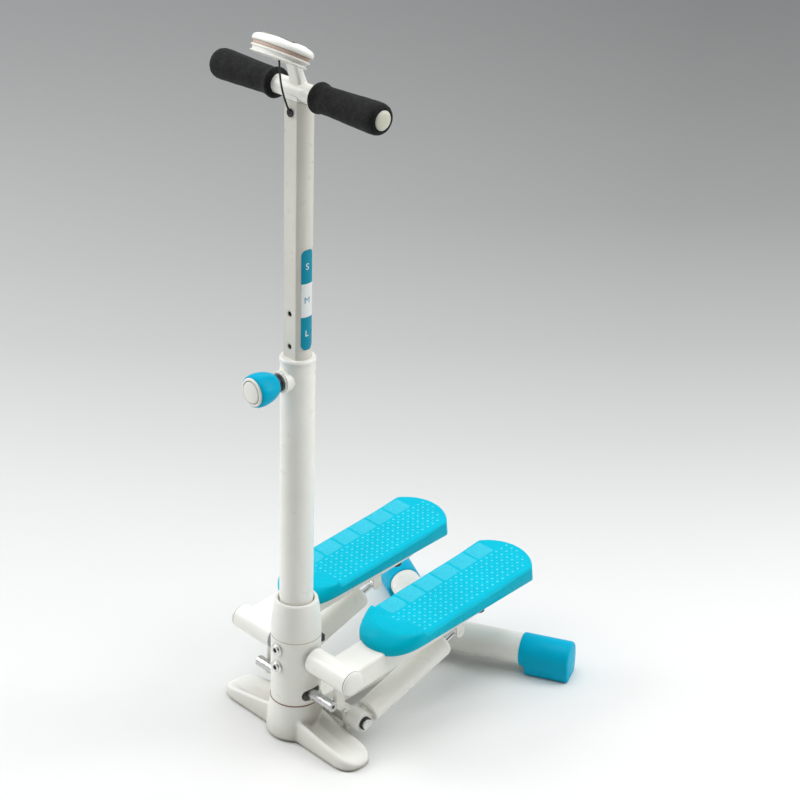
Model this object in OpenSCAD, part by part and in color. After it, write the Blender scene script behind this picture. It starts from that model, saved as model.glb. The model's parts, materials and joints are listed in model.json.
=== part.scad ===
// Mini stepper with a handlebar column: two pedals on see-saw arms with hydraulic cylinders,
// and a telescoping column with three heights. Millimetres, +Z up, +Y towards the user's back.
// Left and right are the user's own, standing on the pedals and facing the column (-Y).
// The origin is on the floor, where the column's axis meets it.

/* [Column] */
// Lean of the column towards the user, in degrees
column_lean = 2.2; // [0:0.2:4]
// Height of the handlebar's axis along the column, at the tallest setting
bar_t = 1149; // [1120:1:1180]
// Distance between two height settings
size_pitch = 56; // [50:1:60]
// Outer radius of the lower tube
lower_r = 28.6; // [27:0.2:30]
// Outer radius of the D-shaped upper tube
upper_r = 22.7; // [21:0.1:23.5]
// Distance of the upper tube's flat front from its axis
flat_o = 17.5; // [16:0.5:19]
// Height of the lower tube's rim along the column
rim_t = 712; // [700:1:730]

/* [Handlebar] */
// Half of the handlebar's length over the grips
bar_half = 185; // [170:1:210]
// Radius of the bar
bar_r = 15; // [13:0.5:16]
// Radius of the foam grips at their thickest
grip_r = 24.5; // [23:0.5:27]
// Distance from the middle to each grip's inner end
grip_in = 45; // [40:1:60]

/* [Base] */
// Radius of the post
post_r = 43.2; // [42:0.1:44]
// Height of the pedal hinge along the column
hinge_t = 159.4; // [156:0.2:164]
// Height of the rear stabiliser's axis
stab_z = 40; // [38:1:44]
// Distance of the stabiliser's bend behind the column
stab_y = 339; // [330:1:350]
// Sweep of each stabiliser leg towards the rear, in degrees
stab_sweep = 26; // [22:1:28]
// Half of the front foot's width
foot_half = 168; // [155:1:175]

/* [Pedals] */
// Distance of each pedal's middle from the column
arm_x = 106.5; // [106:0.5:110]
// Pedal width
pedal_w = 130; // [120:1:134]
// Rise of the pedals towards the rear at mid stroke, in degrees
pedal_tilt = 4.7; // [3.5:0.1:6]
// Slope of the hydraulic cylinders, in degrees
cyl_tilt = 17; // [16:0.5:18]

/* [Hidden] */
$fn = 64;
LEFT = 1;
RIGHT = -1;

// Running clearance on a radius, and the smallest gap between parts that don't move
run_gap = 0.05;
seam = 0.3;
// Small overlap that makes cuts pass through
eps = 0.5;

white = "whitesmoke";
blue = "deepskyblue";
black = [0.09, 0.09, 0.1];
chrome = "silver";
steel = "darkgray";

// Post and tubes
tube_wall = 2.2;
post_wall = 3;
post_bottom_t = 14;
post_top_t = 195;
cone_top_t = 264;
cone_top_r = 37;
cone_mouth_r = 30.2;
lower_bottom_t = 112;
upper_bottom_t = 560;
upper_top_t = bar_t - 12;
bolt_ts = [142, 176];
bolt_r = 4;
axle_r = 10;
rocker_t = 88.4;
rocker_r = 9.5;
rocker_half = 96;
rocker_pin_r = 6;
rocker_hub_r = 13;
rocker_hub_h = 20;
slot_half = 20;
slot_h = 22;
disc_t = [66, 103];
disc_h = 6;

// Hinge of the arms, in floor coordinates
hinge_y = hinge_t * sin(column_lean);
hinge_z = hinge_t * cos(column_lean);
hub_r = 22.4;
hub_in_x = 48;
hub_out_x = 142;
bush_r = 16;
bush_flange = 1;

// Arms, in the arm's own frame: v runs rearwards from the hinge, w is up
arm_w = 61;
arm_top = 13.5;
arm_bottom = -32;
arm_end_v = 352;
arm_wall = 2.5;
arm_corner = 6;
lug_x = 86;
nose_r = 5;
nose_gap = 0.5;

// Pedal, in the arm's frame
pedal_top = 30.4;
pedal_skin = 4;
toe_v = 73;
toe_end_v = 142;
heel_v = 408.5;
heel_rise = 31;
toe_h = 8;
skirt_toe = 13;
skirt_heel = 2.7;
screw_vs = [170, 330];
screw_x = 42;
rib_h = pedal_top - pedal_skin - arm_top;

// Hydraulic cylinder, along its own slope from the lower eye
eye_y = 51.8;
eye_z = 44.4;
eye_r = 18;
eye_half = 14;
eye_bore = 10;
barrel_r = 22;
barrel_bore = 19.5;
barrel_in = 30;
barrel_out = 214;
shoulder_h = 8;
gland_r = 10;
rod_r = 5;
rod_len = 247;
rod_eye_r = 9.5;
rod_eye_bore = 6;
rod_eye_half = 8.5;
pin_v = 277.4;
pin_w = -65.6;
pin_r = 4;
piston_s = 120;
piston_h = 18;
lug_inner = 9;
lug_plate = 3;
lug_r = 9;

// Knob, along the column frame's -Y from the lower tube
knob_t = bar_t - 473;
knob_o = 96;
knob_len = 51;
knob_r = 27;
pull_pin_r = 4;

// Console, centred ahead of the bar and tilted towards the user
console_o = -33;
console_t = bar_t + 73;
console_tilt = 28;
console_a = 60;
console_b = 33;
button_v = 23;
button_r = 6;

// A cylinder along X from x0 to x1, and one along Y from y0 to y1
module xcyl(r, x0, x1) { translate([x0, 0, 0]) rotate([0, 90, 0]) cylinder(r = r, h = x1 - x0); }
module ycyl(r, y0, y1) { translate([0, y0, 0]) rotate([-90, 0, 0]) cylinder(r = r, h = y1 - y0); }
// A hollow upright tube from z0 to z1
module tube(ro, ri, z0, z1) {
    translate([0, 0, z0]) difference() {
        cylinder(r = ro, h = z1 - z0);
        translate([0, 0, -eps]) cylinder(r = ri, h = z1 - z0 + 2 * eps);
    }
}
// A rectangle with round corners, kept exact
module rounded_rect(w, h, r) {
    square([w - 2 * r, h], center = true);
    square([w, h - 2 * r], center = true);
    for (x = [-1, 1], y = [-1, 1]) translate([x * (w / 2 - r), y * (h / 2 - r)]) circle(r = r);
}
// The points of an arc round the origin
function arc(r, a0, a1, n) = [for (i = [0:n]) r * [cos(a0 + (a1 - a0) * i / n), sin(a0 + (a1 - a0) * i / n)]];

// Frames that the parts are drawn in
module column() { rotate([-column_lean, 0, 0]) children(); }
module arm_frame() { translate([0, hinge_y, hinge_z]) rotate([pedal_tilt, 0, 0]) children(); }
module cyl_frame() { translate([arm_x, eye_y, eye_z]) rotate([cyl_tilt, 0, 0]) children(); }
module console_frame() {
    column() translate([0, console_o, console_t]) rotate([-console_tilt, 0, 0]) children();
}
module on_side(side) { mirror([side == RIGHT ? 1 : 0, 0, 0]) children(); }
// One stabiliser leg's frame: its x runs outwards along the leg from the bend
module leg_frame(side) {
    on_side(side) translate([0, stab_y, stab_z]) rotate([0, 0, stab_sweep]) children();
}

// ---- Base ----
bend_r = 75;
bend_len = bend_r * tan(stab_sweep);
beam_w = 56;
beam_h = 36;
cross_half = 90;
plate_x = 91;
plate_t = 8;

module rocker_slot() {
    // The window that the rocker bar swings in, through both sides of the post
    translate([0, 0, rocker_t]) rotate([0, 90, 0]) linear_extrude(2 * post_r + 4, center = true)
        rounded_rect(slot_h, 2 * slot_half, slot_h / 2 - 0.5);
}

module base_frame() {
    color(white) difference() {
        union() {
            column() difference() {
                union() {
                    tube(post_r, post_r - post_wall, post_bottom_t, post_top_t - seam);
                    // Socket that holds the lower tube, and the two discs that carry the rocker's pin
                    tube(post_r - 1, lower_r + 0.1, lower_bottom_t, post_top_t - 8);
                    for (t = disc_t) translate([0, 0, t]) cylinder(r = post_r - 1, h = disc_h);
                }
                translate([0, 0, disc_t[0] - eps]) cylinder(r = rocker_pin_r + run_gap, h = 60);
                for (t = bolt_ts) translate([0, 0, t]) ycyl(bolt_r + 0.3, -post_r - eps, 0);
                translate([0, 0, hinge_t]) xcyl(axle_r + run_gap, -post_r - 1, post_r + 1);
                rocker_slot();
            }
            // Front plate under the moulded foot, with a hub round the post
            translate([0, -2, 9]) cube([2 * foot_half - 70, 44, 6], center = true);
            translate([0, 0, 6]) cylinder(r = post_r - 1, h = 14);
            // Beam to the rear stabiliser, and the cross bar that carries the cylinders' lower ends
            difference() {
                translate([-beam_w / 2, post_r - 2, stab_z - beam_h / 2])
                    cube([beam_w, stab_y - post_r, beam_h]);
                translate([-beam_w / 2 + 3, post_r - 2 - eps, stab_z - beam_h / 2 + 3])
                    cube([beam_w - 6, stab_y - post_r, beam_h - 6]);
            }
            translate([0, eye_y + 6, eye_z - 10]) cube([2 * cross_half, 24, 18], center = true);
            for (s = [-1, 1]) translate([s * (plate_x - plate_t / 2), eye_y, eye_z - 4])
                cube([plate_t, 30, 34], center = true);
        }
        for (s = [-1, 1]) translate([s * 80, eye_y, eye_z]) xcyl(6 + run_gap, -14, 14);
        // The stabiliser tube passes the beam's end
        stabiliser_solid(lower_r + run_gap, 60);
    }
}

// The stabiliser tube's solid of one radius: two legs, and a bend that is swollen a little
module stabiliser_solid(r, leg_end, swell = 0.4) {
    for (s = [LEFT, RIGHT]) leg_frame(s) xcyl(r, bend_len - 1, leg_end);
    translate([0, stab_y + bend_r / cos(stab_sweep), stab_z]) rotate([0, 0, 270 - stab_sweep])
        rotate_extrude(angle = 2 * stab_sweep) translate([bend_r, 0]) circle(r = r + swell);
}
module rear_stabiliser() {
    color(white) difference() {
        stabiliser_solid(lower_r, 236);
        stabiliser_solid(lower_r - tube_wall, 240, -0.4);
    }
}

cap_s0 = 170;
cap_s1 = 262;
cap_r = 31;
module rear_cap(side) {
    color(blue) leg_frame(side) difference() {
        union() {
            xcyl(cap_r, cap_s0, cap_s1);
            // Skirt that stands on the floor
            translate([cap_s0 + 11, 0, 0]) rotate([90, 0, 90]) linear_extrude(cap_s1 - cap_s0 - 11)
                polygon([[-cap_r, 0], [cap_r, 0], [cap_r - 5, -stab_z + 4], [cap_r - 9, -stab_z],
                    [9 - cap_r, -stab_z], [5 - cap_r, -stab_z + 4]]);
        }
        xcyl(lower_r + run_gap, cap_s0 - eps, 237);
    }
}

foot_tip_r = 34;
foot_tip_y = 1;
module foot_wing(grow, top) {
    // One wing of the foot: full height at the post, low and round at the tip
    hull() {
        translate([foot_half - foot_tip_r, foot_tip_y, 0]) {
            cylinder(r = foot_tip_r + grow, h = 8 + top);
            cylinder(r = foot_tip_r - 10 + grow, h = 30 + top);
        }
        translate([0, foot_tip_y, 0]) {
            linear_extrude(8 + top) square([20, 2 * (foot_tip_r + grow)], center = true);
            linear_extrude(58 + top) square([20, 2 * (foot_tip_r - 8 + grow)], center = true);
        }
    }
}
module front_foot_cover() {
    color(white) difference() {
        union() {
            translate([0, 0, 2]) for (s = [LEFT, RIGHT]) on_side(s) foot_wing(0, 0);
            column() translate([0, 0, 4]) cylinder(r1 = 50, r2 = post_r + 0.4, h = 65);
            translate([0, 0, 2]) cylinder(r = 50, h = 6);
        }
        translate([0, 0, -1]) for (s = [LEFT, RIGHT]) on_side(s) foot_wing(-3, 0);
        column() translate([0, 0, -3]) cylinder(r = post_r + 0.3, h = 90);
        translate([0, 0, -eps]) cylinder(r = post_r + 0.3, h = 16);
        // Room for the beam and the cross bar behind the post
        translate([-beam_w / 2 - 1, 0, stab_z - beam_h / 2 - 1]) cube([beam_w + 2, 80, beam_h + 2]);
        translate([-cross_half - 9, eye_y - 17, -1]) cube([2 * cross_half + 18, 60, 90]);
    }
}

module front_foot_pads() {
    color(black) {
        for (s = [-1, 1], x = [62, 118], y = [-14, 10]) translate([s * x, y, 0]) cylinder(r = 9, h = 6);
        // Pad under the post
        cylinder(r = 14, h = 6);
    }
}

module collar_cone() {
    // Moulded collar that closes the post round the lower tube
    wall = 3;
    color(white) column() rotate_extrude() polygon([[post_r, post_top_t], [post_r - 0.7, post_top_t + 18],
        [cone_top_r + 2.2, cone_top_t - 14], [cone_top_r, cone_top_t - 3], [cone_top_r - 1.8, cone_top_t - 0.6],
        [cone_top_r - 3.4, cone_top_t], [cone_mouth_r + 1.2, cone_top_t - 0.8], [cone_mouth_r, cone_top_t - 4],
        [cone_mouth_r, cone_top_t - 12], [cone_top_r - wall + 1, cone_top_t - 14],
        [post_r - wall - 0.7, post_top_t + 18], [post_r - wall, post_top_t]]);
}

module lower_tube() {
    color(white) column() difference() {
        tube(lower_r, lower_r - tube_wall, lower_bottom_t, rim_t - 8);
        translate([0, 0, knob_t]) ycyl(9 + run_gap, -lower_r - 1, 0);
        translate([0, 0, hinge_t]) xcyl(axle_r + run_gap, -lower_r - 1, lower_r + 1);
        for (t = bolt_ts) translate([0, 0, t]) ycyl(bolt_r + 0.3, -lower_r - 1, 0);
    }
}

module post_bolts() {
    // Socket-head bolts, fixed from the front of the post
    color(chrome) column() for (t = bolt_ts) translate([0, 0, t]) difference() {
        union() {
            ycyl(bolt_r, -post_r - 3, -lower_r + tube_wall - 3);
            ycyl(8, -post_r - 5.5, -post_r - 2.05);
            rotate([90, 0, 0]) translate([0, 0, post_r + 5.4]) cylinder(r1 = 8, r2 = 7.2, h = 0.8);
        }
        rotate([90, 0, 0]) translate([0, 0, post_r + 3.2]) cylinder(r = 4, h = 6, $fn = 6);
    }
}

module post_washers() {
    color(chrome) column() for (t = bolt_ts) translate([0, 0, t]) difference() {
        ycyl(12.5, -post_r - 2, -post_r - 0.05);
        ycyl(bolt_r + 0.1, -post_r - 3, 0);
    }
}

module pivot_axle() {
    color(steel) translate([0, hinge_y, hinge_z]) xcyl(axle_r, -hub_out_x + 5, hub_out_x - 5);
}

module rocker_pin() {
    color(steel) column() translate([0, 0, disc_t[0] - 4]) cylinder(r = rocker_pin_r, h = disc_t[1] - disc_t[0] + 14);
}

module rocker_bar() {
    // Plated bar that swings in the post, with a tapped hole in each end
    color(steel) column() translate([0, 0, rocker_t]) difference() {
        union() {
            xcyl(rocker_r, -rocker_half, rocker_half);
            translate([0, 0, -rocker_hub_h / 2]) cylinder(r = rocker_hub_r, h = rocker_hub_h);
        }
        translate([0, 0, -20]) cylinder(r = rocker_pin_r + run_gap, h = 40);
        for (s = [-1, 1]) translate([s * rocker_half, 0, 0]) xcyl(3.6, -9, 9);
    }
}

module cylinder_bolts() {
    // Bolts that hold the lower eyes: a shank in the frame's plate, with a round head outside
    color(chrome) for (s = [LEFT, RIGHT]) on_side(s) translate([0, eye_y, eye_z]) {
        xcyl(6, plate_x - 12, arm_x + eye_half + 5.2);
        xcyl(9.5, arm_x + eye_half + 5.2, arm_x + eye_half + 9);
    }
}

// The D-shaped section of the upper tube, grown by a clearance
module d_section(r, flat) {
    intersection() {
        circle(r = r);
        translate([-r - 1, -flat]) square([2 * r + 2, r + flat + 1]);
    }
}

module guide_sleeve() {
    // Plastic sleeve in the lower tube's mouth, with a rim over its end
    color(white) column() difference() {
        union() {
            translate([0, 0, rim_t - 90]) cylinder(r = lower_r - tube_wall - 0.05, h = 90);
            translate([0, 0, rim_t - 8]) cylinder(r = lower_r + 0.9, h = 5);
            translate([0, 0, rim_t - 3]) cylinder(r1 = lower_r + 0.9, r2 = lower_r - 1.2, h = 3);
        }
        translate([0, 0, rim_t - 91]) linear_extrude(100) d_section(upper_r + run_gap, flat_o + run_gap);
        translate([0, 0, knob_t]) ycyl(9 + run_gap, -lower_r - 3, -flat_o + 1);
    }
}

module knob_boss() {
    // Threaded boss for the knob, clamped on the lower tube
    color(white) column() translate([0, 0, knob_t]) difference() {
        union() {
            ycyl(19, -37, -20);
            ycyl(17, -39.5, -37);
        }
        translate([0, 0, -25]) cylinder(r = lower_r + 0.02, h = 50);
        ycyl(9 + run_gap, -45, 0);
    }
}

module step_sensor() {
    // Reed switch in a small housing, clipped to the rear of the post
    color(black) column() translate([21, 39.5, 176]) difference() {
        cube([9, 7, 12], center = true);
        translate([-21, -39.5, -20]) cylinder(r = post_r + 0.05, h = 40);
    }
}

// ---- Upper column ----
module upper_tube() {
    color(white) column() difference() {
        translate([0, 0, upper_bottom_t]) linear_extrude(upper_top_t - upper_bottom_t) difference() {
            d_section(upper_r, flat_o);
            d_section(upper_r - tube_wall, flat_o - tube_wall);
        }
        for (i = [0:2]) translate([0, 0, knob_t + i * size_pitch]) ycyl(pull_pin_r + 0.4, -flat_o - 2, -8);
        translate([0, -3, bar_t]) xcyl(bar_r + 0.1, -40, 40);
        translate([0, 0, bar_t - 32]) ycyl(5 + run_gap, -flat_o - 2, -8);
        // Shallow seat for the size label
        translate([0, 0, label_t0]) linear_extrude(label_h) label_section(upper_r + 1, upper_r - label_deep);
    }
}

label_t0 = 729;
label_h = 170;
label_deep = 0.5;
// A thin sector of a ring on the tube's left side
module label_section(ro, ri) {
    difference() {
        circle(r = ro, $fn = 256);
        circle(r = ri, $fn = 256);
        translate([-60, -60]) square([60 + 17.5, 120]);
    }
}
module size_label() {
    // Strip with the three sizes, let into the tube's side
    color(blue) column() translate([0, 0, label_t0 + 0.2]) linear_extrude(label_h - 0.4)
        label_section(upper_r - 0.05, upper_r - label_deep + 0.05);
}

module handlebar() {
    color(white) column() translate([0, -3, bar_t]) difference() {
        xcyl(bar_r, -bar_half, bar_half);
        for (s = [-1, 1]) xcyl(bar_r - 2, s < 0 ? -bar_half - 1 : 20, s < 0 ? -20 : bar_half + 1);
    }
}

module grip(side) {
    // Foam grip: flared at its inner end, slimmer beyond, thickest near the round outer end
    len = bar_half - grip_in;
    color(black) column() on_side(side) translate([grip_in, -3, bar_t]) rotate([0, 90, 0]) rotate_extrude()
        polygon([[bar_r + 0.1, 0], [grip_r - 2, 0], [grip_r, 2], [grip_r - 0.3, 5], [grip_r - 2.6, 11],
            [grip_r - 3, 20], [grip_r - 2, 55], [grip_r, 95], [grip_r, len - 12], [grip_r - 1, len - 6],
            [grip_r - 4, len - 1.5], [grip_r - 6.5, len], [bar_r + 0.1, len]]);
}

module bar_plugs() {
    // Domed plugs in the ends of the bar
    color(white) column() for (s = [LEFT, RIGHT]) on_side(s) translate([bar_half, -3, bar_t])
        rotate([0, 90, 0]) rotate_extrude()
        polygon([[0, -12], [bar_r - 2.1, -12], [bar_r - 2.1, 0.1], [bar_r - 0.4, 0.1], [bar_r - 0.6, 1.2],
            [bar_r - 4, 2.4], [0, 3.2]]);
}

module top_cap() {
    // Plug that closes the upper tube and cradles the bar
    color(white) column() difference() {
        union() {
            translate([0, 0, upper_top_t]) linear_extrude(12) d_section(upper_r, flat_o);
            translate([0, 0, upper_top_t - 18]) linear_extrude(20)
                d_section(upper_r - tube_wall - 0.1, flat_o - tube_wall - 0.1);
        }
        translate([0, -3, bar_t]) xcyl(bar_r + 0.05, -40, 40);
        translate([0, 0, bar_t - 32]) ycyl(5.2, -flat_o - 2, 0);
    }
}

module oval(a, b, h) { linear_extrude(h) polygon([for (p = arc(1, 0, 352.5, 47)) [a * p[0], b * p[1]]]); }

module console_bracket() {
    // Stem from the bar to the console, and the tray that the console slides on to
    color(white) difference() {
        union() {
            console_frame() difference() {
                translate([0, 0, -23]) oval(console_a - 3, console_b - 3, 9);
                // Two ribbed pockets underneath
                for (s = [-1, 1]) translate([s * 24, -2, -24.5]) cube([34, 30, 6], center = true);
            }
            column() hull() {
                translate([0, -8, bar_t + 8]) cube([32, 16, 8], center = true);
                translate([0, -30, bar_t + 48]) cube([28, 12, 10], center = true);
            }
        }
        console_frame() translate([-80, -60, -14.2]) cube([160, 120, 60]);
        column() translate([0, -3, bar_t]) xcyl(bar_r + 0.05, -60, 60);
    }
}

module console_back() {
    color(white) console_frame() difference() {
        translate([0, 0, -13.9]) oval(console_a - 10, console_b - 8, 11.8);
        translate([0, 0, -11]) oval(console_a - 13, console_b - 11, 20);
    }
}

module console_front() {
    color(white) console_frame() difference() {
        union() {
            translate([0, 0, -2]) oval(console_a, console_b, 5);
            translate([0, 0, 3]) oval(console_a - 4, console_b - 3, 3.5);
            translate([0, 0, 6.5]) oval(console_a - 12, console_b - 8, 3);
        }
        translate([0, 0, -3]) oval(console_a - 4, console_b - 4, 6);
        translate([0, -5, 0]) linear_extrude(30) rounded_rect(64, 26, 4);
        translate([0, button_v - 5, 0]) cylinder(r = button_r + run_gap, h = 30);
    }
}

module console_lens() {
    color(black) console_frame() translate([0, -5, 4]) linear_extrude(4.6) rounded_rect(63.8, 25.8, 3.9);
}

module console_board() {
    // Circuit board with its display and battery holder
    color("seagreen") console_frame() {
        translate([0, 0, -1]) cube([80, 34, 1.6], center = true);
        translate([0, -5, 1.6]) cube([56, 20, 3.4], center = true);
        translate([-14, 0, -5.9]) cylinder(r = 10, h = 4);
    }
}

module console_button() {
    color(blue) console_frame() translate([0, button_v - 5, 3.2]) union() {
        cylinder(r = button_r, h = 7.4);
        translate([0, 0, -2]) cylinder(r = 3, h = 2.5);
    }
}

cable_arc_r = 121;
cable_o = 81.9;
cable_from = 175.9;
cable_to = 211.2;
module console_cable() {
    // Cord from the bracket to the column, an arc in the column's middle plane
    color(black) column() translate([0, cable_o, bar_t + 40]) rotate([90, 0, 90]) rotate([0, 0, cable_from])
        rotate_extrude(angle = cable_to - cable_from) translate([cable_arc_r, 0]) circle(r = 1.7);
}

module cable_grommet() {
    color(black) column() translate([0, 0, bar_t - 32]) difference() {
        union() {
            ycyl(4.9, -flat_o, -flat_o + 4);
            ycyl(6.5, -flat_o - 2.4, -flat_o);
        }
        ycyl(1.8, -flat_o - 3, 0);
    }
}

// ---- Height knob ----
module knob_collar() {
    // Threaded bush that the knob turns, screwed into the boss
    color(black) column() translate([0, 0, knob_t]) difference() {
        union() {
            ycyl(9, -41, -flat_o - 6.5);
            ycyl(15, -knob_o + knob_len - 1, -39.7);
        }
        ycyl(pull_pin_r + run_gap, -50, 0);
        // Seat of the spring
        ycyl(7, -50, -34);
    }
}

module knob_body() {
    color(blue) column() translate([0, 0, knob_t]) rotate([90, 0, 0]) rotate_extrude()
        polygon([[pull_pin_r + 0.02, knob_o - 30], [pull_pin_r + 0.02, knob_o - 8], [22, knob_o - 8], [22, knob_o - 1],
            [23.5, knob_o - 1], [25.5, knob_o - 2.5], [knob_r, knob_o - 8], [knob_r, knob_o - 18],
            [25.5, knob_o - 30], [22, knob_o - 43], [19.5, knob_o - 49], [18, knob_o - knob_len],
            [15.5, knob_o - knob_len], [15.5, knob_o - 30]]);
}

module knob_face() {
    color(white) column() translate([0, 0, knob_t]) rotate([90, 0, 0]) rotate_extrude()
        polygon([[0, knob_o - 7.9], [21.9, knob_o - 7.9], [21.9, knob_o - 1], [20, knob_o + 0.4], [16.5, knob_o + 1],
            [16.2, knob_o + 0.2], [15.2, knob_o + 0.2], [15, knob_o + 1.2], [8, knob_o + 2], [0, knob_o + 2.2]]);
}

module knob_pin() {
    // Drawn just clear of the tube; it goes further in to lock a height
    color(chrome) column() translate([0, 0, knob_t]) ycyl(pull_pin_r, -knob_o + 8.1, -flat_o - 0.25);
}

module knob_spring() {
    color(steel) column() translate([0, 0, knob_t]) for (i = [0:6]) translate([0, -36.5 - i * 4, 0])
        rotate([90, 0, 0]) rotate_extrude() translate([5.6, 0]) circle(r = 0.8);
}

// ---- Arms, pedals and cylinders ----
module pedal_arm(side) {
    color(white) on_side(side) difference() {
        union() {
            translate([0, hinge_y, hinge_z]) xcyl(hub_r, hub_in_x + bush_flange, hub_out_x - bush_flange);
            arm_frame() {
                translate([arm_x, 0, (arm_top + arm_bottom) / 2]) rotate([-90, 0, 0]) linear_extrude(arm_end_v)
                    difference() {
                        rounded_rect(arm_w, arm_top - arm_bottom, arm_corner);
                        rounded_rect(arm_w - 2 * arm_wall, arm_top - arm_bottom - 2 * arm_wall, arm_corner - arm_wall);
                    }
                // Cross ribs that the pedal is screwed to
                for (v = screw_vs) translate([arm_x, v, arm_top + rib_h / 2 - 0.1])
                    cube([2 * screw_x + 24, 26, rib_h - 0.2], center = true);
                // Lugs for the cylinder's upper pin
                for (x = [arm_x - lug_inner - lug_plate, arm_x + lug_inner]) translate([x, pin_v, pin_w]) {
                    xcyl(lug_r, 0, lug_plate);
                    translate([0, -lug_r, 0]) cube([lug_plate, 2 * lug_r, arm_bottom - pin_w + 2]);
                }
                // End wall of the box
                translate([arm_x, arm_end_v - 2, (arm_top + arm_bottom) / 2]) rotate([-90, 0, 0])
                    linear_extrude(2) rounded_rect(arm_w - 1, arm_top - arm_bottom - 1, arm_corner);
            }
            // Lever that rests on the rocker bar, with a round nose
            column() translate([lug_x, rocker_r + nose_gap + nose_r, 0]) {
                translate([0, 0, rocker_t - 12]) cylinder(r = nose_r, h = 50);
                translate([-nose_r, 0, rocker_t - 12]) cube([2 * nose_r, 16, 56]);
            }
        }
        translate([0, hinge_y, hinge_z]) xcyl(bush_r + 0.02, 0, 200);
        arm_frame() {
            translate([0, pin_v, pin_w]) xcyl(pin_r + 0.02, 80, 140);
            for (v = screw_vs, s = [-1, 1]) translate([arm_x + s * screw_x, v, 0]) cylinder(r = 2.6, h = 40);
        }
    }
}

module hub_bushes(side) {
    // Flanged nylon bushes, one at each end of the hub
    color(blue) on_side(side) translate([0, hinge_y, hinge_z]) for (e = [0, 1]) difference() {
        union() {
            if (e == 0) { xcyl(hub_r - 0.3, hub_in_x, hub_in_x + bush_flange); xcyl(bush_r, hub_in_x, hub_in_x + 22); }
            if (e == 1) { xcyl(hub_r - 0.3, hub_out_x - bush_flange, hub_out_x); xcyl(bush_r, hub_out_x - 22, hub_out_x); }
        }
        xcyl(axle_r + run_gap, 0, 200);
    }
}

module hub_cap(side) {
    // Domed cap over the hub's outer end
    color(white) on_side(side) translate([hub_out_x, hinge_y, hinge_z]) rotate([0, 90, 0]) rotate_extrude()
        polygon([[0, 0.05], [hub_r - 0.3, 0.05], [hub_r - 0.6, 2.4], [hub_r - 4, 4.6], [hub_r - 10, 6], [0, 6.8]]);
}

module arm_bumper(side) {
    color(black) on_side(side) arm_frame() translate([arm_x, 336, arm_bottom]) rotate([180, 0, 0])
        cylinder(r1 = 13, r2 = 10, h = 22);
}

// The pedal's outline in plan, inset by a wall
function pedal_outline(inset) = concat(
    [for (i = [0:24]) let (a = 180 + 7.5 * i)
        [arm_x + (pedal_w / 2 - inset) * cos(a), toe_end_v + (toe_end_v - toe_v - inset) * sin(a)]],
    [for (i = [0:16]) let (a = acos(pedal_w / 2 / heel_r()), b = a + (180 - 2 * a) * i / 16, r = heel_r() - inset)
        [arm_x + min(max(r * cos(b), inset - pedal_w / 2), pedal_w / 2 - inset), heel_v + heel_rise - heel_r() + r * sin(b)]]);
function heel_r() = (pow(pedal_w / 2, 2) + pow(heel_rise, 2)) / (2 * heel_rise);

module pedal_skirt_cut() {
    // What is cut away under the skirt, which is deeper at the heel
    drop = atan((skirt_toe - skirt_heel) / (heel_v - toe_end_v));
    translate([0, toe_end_v, skirt_toe]) rotate([-drop, 0, 0]) translate([0, -200, -100]) cube([260, 600, 100]);
}

module pedal(side) {
    color(blue) on_side(side) arm_frame() difference() {
        union() {
            difference() {
                linear_extrude(pedal_top) polygon(pedal_outline(0));
                translate([0, 0, -1]) linear_extrude(pedal_top - pedal_skin + 1) polygon(pedal_outline(pedal_skin));
                pedal_skirt_cut();
            }
            // Raised toe
            intersection() {
                translate([0, 0, 6]) linear_extrude(pedal_top + toe_h - 6) difference() {
                    polygon(pedal_outline(0));
                    translate([0, toe_end_v]) square([400, 400]);
                }
                difference() {
                    translate([arm_x, toe_end_v + 2, 6]) rotate([0, 90, 0]) cylinder(r = 68, h = 140, center = true);
                    translate([arm_x, toe_end_v + 18, -2]) rotate([0, 90, 0]) cylinder(r = 46, h = 140, center = true);
                    translate([0, 0, -20]) cube([300, 400, 30]);
                }
            }
        }
        for (v = screw_vs, s = [-1, 1]) translate([arm_x + s * screw_x, v, 0]) cylinder(r = 2.6, h = pedal_top - 1.5);
        // Room for the arm under the toe
        translate([arm_x - arm_w / 2 - seam, 0, -60]) cube([arm_w + 2 * seam, 300, 60 + arm_top + seam]);
    }
}

module pedal_screws(side) {
    color(steel) on_side(side) arm_frame() for (v = screw_vs, s = [-1, 1]) translate([arm_x + s * screw_x, v, 0]) {
        translate([0, 0, arm_top - 0.1]) cylinder(r = 2.5, h = pedal_top - 2 - arm_top);
        translate([0, 0, arm_top - 3.6]) cylinder(r = 5, h = 3.5);
    }
}

module cylinder_pin(side) {
    // Riveted pin, flush with its lugs
    color(white) on_side(side) arm_frame() translate([0, pin_v, pin_w])
        xcyl(pin_r, arm_x - lug_inner - lug_plate - 0.5, arm_x + lug_inner + lug_plate + 0.5);
}

module cylinder_barrel(side) {
    color(white) on_side(side) cyl_frame() difference() {
        union() {
            xcyl(eye_r, -eye_half, eye_half);
            ycyl(12.5, 2, barrel_in);
            // Body with its rolled shoulder
            rotate([-90, 0, 0]) rotate_extrude() polygon([[0, 22], [barrel_r - 2, 22], [barrel_r, 24],
                [barrel_r, barrel_out - shoulder_h], [barrel_r - 1, barrel_out - shoulder_h + 3],
                [barrel_r - 3, barrel_out - 2], [barrel_r - 6.5, barrel_out - 0.4], [0, barrel_out]]);
        }
        xcyl(eye_bore + 0.02, -40, 40);
        ycyl(barrel_bore, barrel_in, barrel_out - shoulder_h);
        ycyl(gland_r + 0.02, barrel_out - 20, barrel_out + 1);
    }
}

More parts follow.
